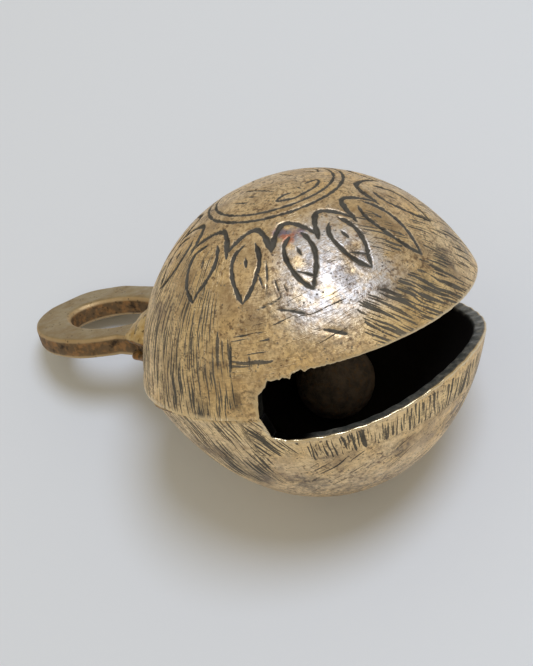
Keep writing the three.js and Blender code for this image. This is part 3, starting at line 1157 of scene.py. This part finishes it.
# painted shade: the near black of the shells' inside
INSIDE_SHADE = (0.030, 0.023, 0.018, 1)
COPPER_TINT = (0.50, 0.20, 0.12, 1)
BLUE_TINT = (0.20, 0.22, 0.30, 1)
PALE_DIRT = (0.095, 0.084, 0.064, 1)
RED_SPECK = (0.15, 0.085, 0.055, 1)
STAIN_AND_SHADE = (0.115, 0.09, 0.073, 1)
RUBBED_JOINT = (0.92, 0.74, 0.47, 1)
BRIGHT_LIP = (0.80, 0.64, 0.40, 1)
PALE_RIM = (0.26, 0.24, 0.19, 1)
# painted shade on the rim face
RIM_SHADE_BLACK = (0.010, 0.009, 0.008, 1)

LOOP_GREY = (0.45, 0.36, 0.22, 1)
LOOP_BROWN = (0.38, 0.28, 0.15, 1)
LOOP_RUBBED = (0.62, 0.43, 0.22, 1)
LOOP_SIDE = (0.20, 0.13, 0.068, 1)
LOOP_ORANGE = (0.38, 0.21, 0.085, 1)
LOOP_BLACK = (0.055, 0.035, 0.02, 1)
LOOP_PIT = (0.06, 0.04, 0.02, 1)

YELLOW_BRAZE = (0.74, 0.56, 0.29, 1)
ORANGE_BRAZE = (0.55, 0.36, 0.13, 1)
# painted shade for the braze that faces away from the pole
BRAZE_SHADE_BROWN = (0.20, 0.12, 0.055, 1)
BRAZE_SHADE_BURNT = (0.34, 0.17, 0.06, 1)
FLUX = (0.10, 0.07, 0.035, 1)
BRAZE_PIT = (0.05, 0.035, 0.02, 1)

PALE_RUST = (0.38, 0.28, 0.20, 1)
OLD_RUST = (0.21, 0.165, 0.13, 1)
ORANGE_RUST = (0.42, 0.24, 0.12, 1)

PALE_FLOOR = (0.77, 0.785, 0.80, 1)
WARM_FILL = (0.50, 0.458, 0.37, 1)
PALE_BACKDROP = (0.60, 0.61, 0.62, 1)
COOL_LIGHT = (0.70, 0.80, 1.0)


def shell_brass(name, sand, bright_share, stain_strength):
    """Filed and worn brass with dirt in every cut and bright lips, a silvery painted sheen, and
    painted shade on the rims and inside.
    """
    material, tree, shader = new_material(name)
    place = millimetres(tree)
    surface = put(tree, "ShaderNodeUVMap", uv_map="surface").outputs[0]
    edge = named(tree, "edge")
    patches = cloudy(tree, place)

    bend = waver(tree, surface, 0.12, 1.0, 1.6)
    ragged = waver(tree, surface, 2.2, 2.0, 0.22)
    dense = ramp(tree, grain(tree, surface, 0.16, 2.0), 0.35, 0.62, 0.62, 1.18)
    filed, file_angle = times(tree, named(tree, "filed"), dense), named(tree, "file_angle")

    def marks(angle, spacing, length, width, amount, seed):
        values = {
            "Surface": surface,
            "Angle": angle,
            "Spacing": spacing,
            "Length": length,
            "Width": width,
            "Amount": amount,
            "Seed": seed,
            "Bend": bend,
            "Ragged": ragged,
        }
        return use_group(tree, file_marks, values)["Mask"]

    def most(*masks):
        total = masks[0]
        for mask in masks[1:]:
            total = maths(tree, "MAXIMUM", total, mask)
        return total

    broad = plus(tree, 0.28, times(tree, named(tree, "stain_and_shade"), 0.30))
    deep = most(
        marks(file_angle, 0.95, 11, broad, filed, 1.0),
        marks(plus(tree, file_angle, 0.04), 0.66, 7, 0.27, filed, 4.0),
        marks(minus(tree, file_angle, 0.05), 1.60, 13, 0.25, filed, 5.0),
    )
    everywhere = ramp(tree, edge, -0.4, 0.0, 0.0, 0.55)
    faint = most(
        marks(file_angle, 0.42, 6, 0.26, plus(tree, filed, 0.1), 12.0),
        marks(1.62, 0.50, 7, 0.20, everywhere, 15.0),
    )

    tremble = waver(tree, place, 1.6, 3.0, 0.30)
    groove = plus(tree, named(tree, "groove"), tremble)
    engraved = ramp(tree, groove, 0.11, -0.08)
    pits = pitted(tree, place, 0.8, 0.55)

    tarnish = patches(9.0, 0.46, 0.72, 3.0)
    fine_tarnish = patches(2.6, 0.50, 0.66, 8.0)
    golden = patches(14.0, 0.42, 0.66, 21.0)
    painted_sheen = named(tree, "painted_sheen")
    painted_sheen_mask = times(tree, painted_sheen, ramp(tree, grain(tree, place, 0.25, 4.0), 0.30, 0.52))

    colour = blend(tree, golden, WORN_BRASS, GOLDEN_BRASS)
    colour = blend(tree, times(tree, filed, 0.75), colour, FRESH_BRASS)
    colour = blend(tree, times(tree, tarnish, 0.75), colour, BROWN_BRASS)
    colour = blend(tree, times(tree, fine_tarnish, 0.40), colour, BROWN_BRASS)
    # painted sheen: silvery colour where the highlight falls
    colour = blend(tree, painted_sheen_mask, colour, SILVER_SHEEN)
    least_sand = blend_value(tree, painted_sheen_mask, sand, 0.55)
    sandy = times(tree, patches(0.75, 0.44, 0.66, 65.0), least_sand)
    sandy = times(tree, sandy, ramp(tree, filed, 0.0, 1.0, 1.0, 0.45))
    colour = blend(tree, sandy, colour, SANDY_BRASS)
    speckle = times(tree, patches(0.8, 0.52, 0.64, 61.0), patches(7.0, 0.35, 0.60, 63.0))
    colour = blend(tree, times(tree, speckle, 0.75), colour, RED_SPECK)
    tint = times(tree, named(tree, "heat_tint"), patches(2.2, 0.42, 0.60, 33.0))
    colour = blend(tree, tint, colour, COPPER_TINT)
    blue = times(tree, named(tree, "heat_tint"), patches(2.0, 0.46, 0.60, 41.0))
    colour = blend(tree, times(tree, blue, 0.8), colour, BLUE_TINT)
    colour = blend(tree, times(tree, faint, 0.42), colour, BROWN_BRASS)
    blackness = ramp(tree, named(tree, "stain_and_shade"), 0.0, 0.35, 0.90, 0.97)
    dirt = maths(tree, "MAXIMUM", times(tree, deep, blackness), engraved)
    dirt = maths(tree, "MAXIMUM", dirt, times(tree, pits, 0.8))
    dirt = times(tree, dirt, ramp(tree, edge, -0.3, 0.0))
    flaky = waver(tree, place, 0.8, 6.0, 3.0, 0.75)
    stain_and_shade = ramp(tree, plus(tree, named(tree, "stain_and_shade"), flaky), 0.2, 1.15)
    stain_and_shade = times(tree, stain_and_shade, ramp(tree, named(tree, "stain_and_shade"), 0.0, 0.3, 0.0, stain_strength))
    stain_and_shade = times(tree, stain_and_shade, ramp(tree, filed, 0.2, 1.0, 0.85, 0.5))
    # stains, and painted shade towards the bottom of the lower shell
    colour = blend(tree, stain_and_shade, colour, STAIN_AND_SHADE)
    rubbed = ramp(tree, grain(tree, place, 0.7, 3.0), 0.3, 0.5)
    joint = times(tree, named(tree, "joint"), rubbed)
    dirt = times(tree, dirt, minus(tree, 1.0, joint))
    colour = blend(tree, joint, colour, RUBBED_JOINT)
    colour = blend(tree, dirt, colour, blend(tree, fine_tarnish, PALE_DIRT, DIRT))

    lip_noise = waver(tree, place, 1.1, 3.0, 1.4)
    lip = plus(tree, edge, lip_noise)
    worn_lip = times(tree, ramp(tree, lip, 0.85, 0.2), ramp(tree, edge, -0.42, -0.2))
    worn_lip = times(tree, worn_lip, bright_share)
    colour = blend(tree, worn_lip, colour, BRIGHT_LIP)
    rim = ramp(tree, edge, -0.25, -0.45)
    rim_colour = blend(tree, patches(1.2, 0.40, 0.66, 51.0), GREY_RIM, PALE_RIM)
    # painted shade: the rim face darkened towards black
    rim_colour = blend(tree, named(tree, "rim_shade"), rim_colour, RIM_SHADE_BLACK)
    colour = blend(tree, rim, colour, rim_colour)
    # painted shade: the inside of the shell is drawn near black, as the cavity lies in shade
    inside = ramp(tree, edge, -1.9, -2.6)
    colour = blend(tree, inside, colour, INSIDE_SHADE)

    roughness = ramp(tree, grain(tree, place, 0.35, 4.0), 0.3, 0.7, 0.36, 0.50)
    roughness = blend_value(tree, painted_sheen_mask, roughness, 0.44)
    roughness = blend_value(tree, dirt, roughness, 0.75)
    roughness = blend_value(tree, worn_lip, roughness, 0.26)
    roughness = blend_value(tree, inside, roughness, 0.9)
    metal = blend_value(tree, maths(tree, "MAXIMUM", dirt, inside), 1.0, 0.25)
    metal = blend_value(tree, rim, metal, ramp(tree, named(tree, "rim_shade"), 0.0, 1.0, 0.5, 1.0))

    height = times(tree, deep, -0.14)
    height = minus(tree, height, times(tree, faint, 0.03))
    height = times(tree, height, ramp(tree, edge, -0.3, 0.0))
    height = plus(tree, height, times(tree, grain(tree, place, 0.8, 5.0, 0.6), 0.08))
    height = plus(tree, height, times(tree, grain(tree, place, 2.8, 2.0, 0.5), 0.05))
    values = {"Base Color": colour, "Roughness": roughness, "Metallic": metal}
    set_shader(tree, shader, {**values, "Normal": relief(tree, height, 0.8)})
    return material


def loop_brass():
    """Dull cast brass, orange brown on its rough sides and rubbed paler on its faces."""
    material, tree, shader = new_material("loop_brass")
    place = millimetres(tree)
    side, from_face = named(tree, "side"), named(tree, "from_face")
    patches = cloudy(tree, place)

    colour = blend(tree, patches(6, 0.4, 0.66, 2.0), LOOP_GREY, LOOP_BROWN)
    brown = blend(tree, patches(1.8, 0.42, 0.62, 5.0), LOOP_SIDE, LOOP_ORANGE)
    brown = blend(tree, patches(2.6, 0.5, 0.68, 6.0), brown, LOOP_BLACK)
    colour = blend(tree, ramp(tree, side, 0.25, 0.85), colour, brown)
    rubbed = times(tree, ramp(tree, from_face, 0.05, 0.25), ramp(tree, from_face, 0.95, 0.55))
    colour = blend(tree, times(tree, rubbed, 0.65), colour, LOOP_RUBBED)
    pits = pitted(tree, place, 0.9, 0.5)
    colour = blend(tree, times(tree, pits, 0.7), colour, LOOP_PIT)
    roughness = ramp(tree, grain(tree, place, 0.5, 4.0), 0.3, 0.7, 0.42, 0.6)
    roughness = blend_value(tree, side, roughness, 0.7)
    height = times(tree, grain(tree, place, 0.9, 5.0, 0.62), 0.22)
    height = minus(tree, height, times(tree, pits, 0.12))
    metal = blend_value(tree, side, 1.0, 0.75)
    values = {"Base Color": colour, "Roughness": roughness, "Metallic": metal}
    set_shader(tree, shader, {**values, "Normal": relief(tree, height, 0.8)})
    return material


def braze_brass():
    """Yellow brazing brass, bright on its lumps and dark with flux between them, with painted brown
    shade where it faces away from the pole.
    """
    material, tree, shader = new_material("braze_brass")
    place = millimetres(tree)
    patches = cloudy(tree, place)

    colour = blend(tree, patches(3.5, 0.40, 0.62, 1.0), YELLOW_BRAZE, ORANGE_BRAZE)
    # painted shade: the braze turns brown where it faces away from the bell's pole
    shaded = ramp(tree, named(tree, "facing_up"), 0.35, -0.15)
    brown = blend(tree, patches(1.6, 0.42, 0.6, 7.0), BRAZE_SHADE_BROWN, BRAZE_SHADE_BURNT)
    colour = blend(tree, shaded, colour, brown)
    flux = patches(1.8, 0.52, 0.66, 4.0)
    colour = blend(tree, times(tree, flux, 0.85), colour, FLUX)
    pits = pitted(tree, place, 1.2, 0.6)
    colour = blend(tree, times(tree, pits, 0.85), colour, BRAZE_PIT)
    roughness = ramp(tree, grain(tree, place, 0.6, 3.0), 0.3, 0.7, 0.34, 0.52)
    height = times(tree, grain(tree, place, 1.1, 4.0, 0.6), 0.2)
    height = minus(tree, height, times(tree, pits, 0.2))
    values = {"Base Color": colour, "Roughness": roughness, "Metallic": 1.0}
    set_shader(tree, shader, {**values, "Normal": relief(tree, height, 0.7)})
    return material


def rusty_iron():
    """Iron under an even coat of dry rust."""
    material, tree, shader = new_material("rusty_iron")
    place = millimetres(tree)
    patches = cloudy(tree, place)
    colour = blend(tree, patches(2.4, 0.40, 0.62, 0.0), PALE_RUST, OLD_RUST)
    flecks = times(tree, patches(0.9, 0.52, 0.64, 9.0), 0.6)
    colour = blend(tree, flecks, colour, ORANGE_RUST)
    height = times(tree, grain(tree, place, 1.4, 6.0, 0.65), 0.35)
    values = {"Base Color": colour, "Roughness": 0.85, "Metallic": 0.15}
    set_shader(tree, shader, {**values, "Normal": relief(tree, height, 0.9)})
    return material


upper_shell.data.materials.append(shell_brass("engraved_brass", 0.9, 0.8, 0.85))
lower_shell.data.materials.append(shell_brass("filed_brass", 0.6, 1.0, 0.9))
hanging_loop.data.materials.append(loop_brass())
braze = braze_brass()
for piece in (upper_fillet, lower_fillet, near_bead, far_bead):
    piece.data.materials.append(braze)
pellet.data.materials.append(rusty_iron())

# ---------------------------------------------------------------- what each piece is in the frame

PIECES = [
    (upper_shell, "bell", "upper_shell", "shell_brass"),
    (lower_shell, "bell", "lower_shell", "shell_brass"),
    (hanging_loop, "bell", "hanging_loop", "loop_brass"),
    (upper_fillet, "bell", "loop_fillet_upper", "braze"),
    (lower_fillet, "bell", "loop_fillet_lower", "braze"),
    (near_bead, "bell", "seam_braze_near", "braze"),
    (far_bead, "bell", "seam_braze_far", "braze"),
    (pellet, "pellet", "pellet", "pellet_iron"),
]
for piece, body, node, slot in PIECES:
    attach(piece, body)
    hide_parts(node)

# ---------------------------------------------------------------- floor, light and camera

FLOOR_SIZE = 4.0
LENS, FILM_WIDTH = 81.08, 36
CAMERA_OFFSET = Vector((92.0, -105.0, 231.9))  # from the bell's centre, in millimetres
CAMERA_AIM = Vector((-8.0, -3.3, 2.0))
CAMERA_ROLL = math.radians(-25.7)

bpy.ops.mesh.primitive_plane_add(size=FLOOR_SIZE)
floor = bpy.context.object
floor.name = "floor"
floor_material, floor_tree, floor_shader = new_material("pale_floor")
set_shader(floor_tree, floor_shader, {"Base Color": PALE_FLOOR, "Roughness": 0.6})
floor.data.materials.append(floor_material)

camera_data = bpy.data.cameras.new("camera")
camera_data.sensor_width = FILM_WIDTH
camera_data.lens = LENS
camera = bpy.data.objects.new("camera", camera_data)
bpy.context.scene.collection.objects.link(camera)
bpy.context.scene.camera = camera
camera_place = bell_centre + CAMERA_OFFSET * MM
camera_aim = bell_centre + CAMERA_AIM * MM
turn = (camera_aim - camera_place).to_track_quat("-Z", "Y").to_matrix().to_4x4()
camera.matrix_world = Matrix.Translation(camera_place) @ turn @ Matrix.Rotation(CAMERA_ROLL, 4, "Z")

world = bpy.data.worlds.new("studio")
bpy.context.scene.world = world
world.use_nodes = True
sky = world.node_tree
seen = sky.nodes.new("ShaderNodeLightPath").outputs["Is Camera Ray"]
fill(sky, sky.nodes["Background"].inputs["Color"], blend(sky, seen, WARM_FILL, PALE_BACKDROP))


def softbox(name, direction, distance, size, power, tint):
    """A round soft light that shines on the bell's centre from a distance, in metres and watts."""
    light = bpy.data.lights.new(name, "AREA")
    light.shape = "DISK"
    light.size = size
    light.energy = power
    light.color = tint
    lamp = bpy.data.objects.new(name, light)
    towards = Vector(direction).normalized()
    facing = towards.to_track_quat("Z", "Y").to_matrix().to_4x4()
    lamp.matrix_world = Matrix.Translation(bell_centre + towards * distance) @ facing
    bpy.context.scene.collection.objects.link(lamp)


softbox("overhead_softbox", (0.22, 0.20, 0.955), 0.9, 0.36, 4.4, COOL_LIGHT)

bpy.context.scene.view_settings.view_transform = "Standard"
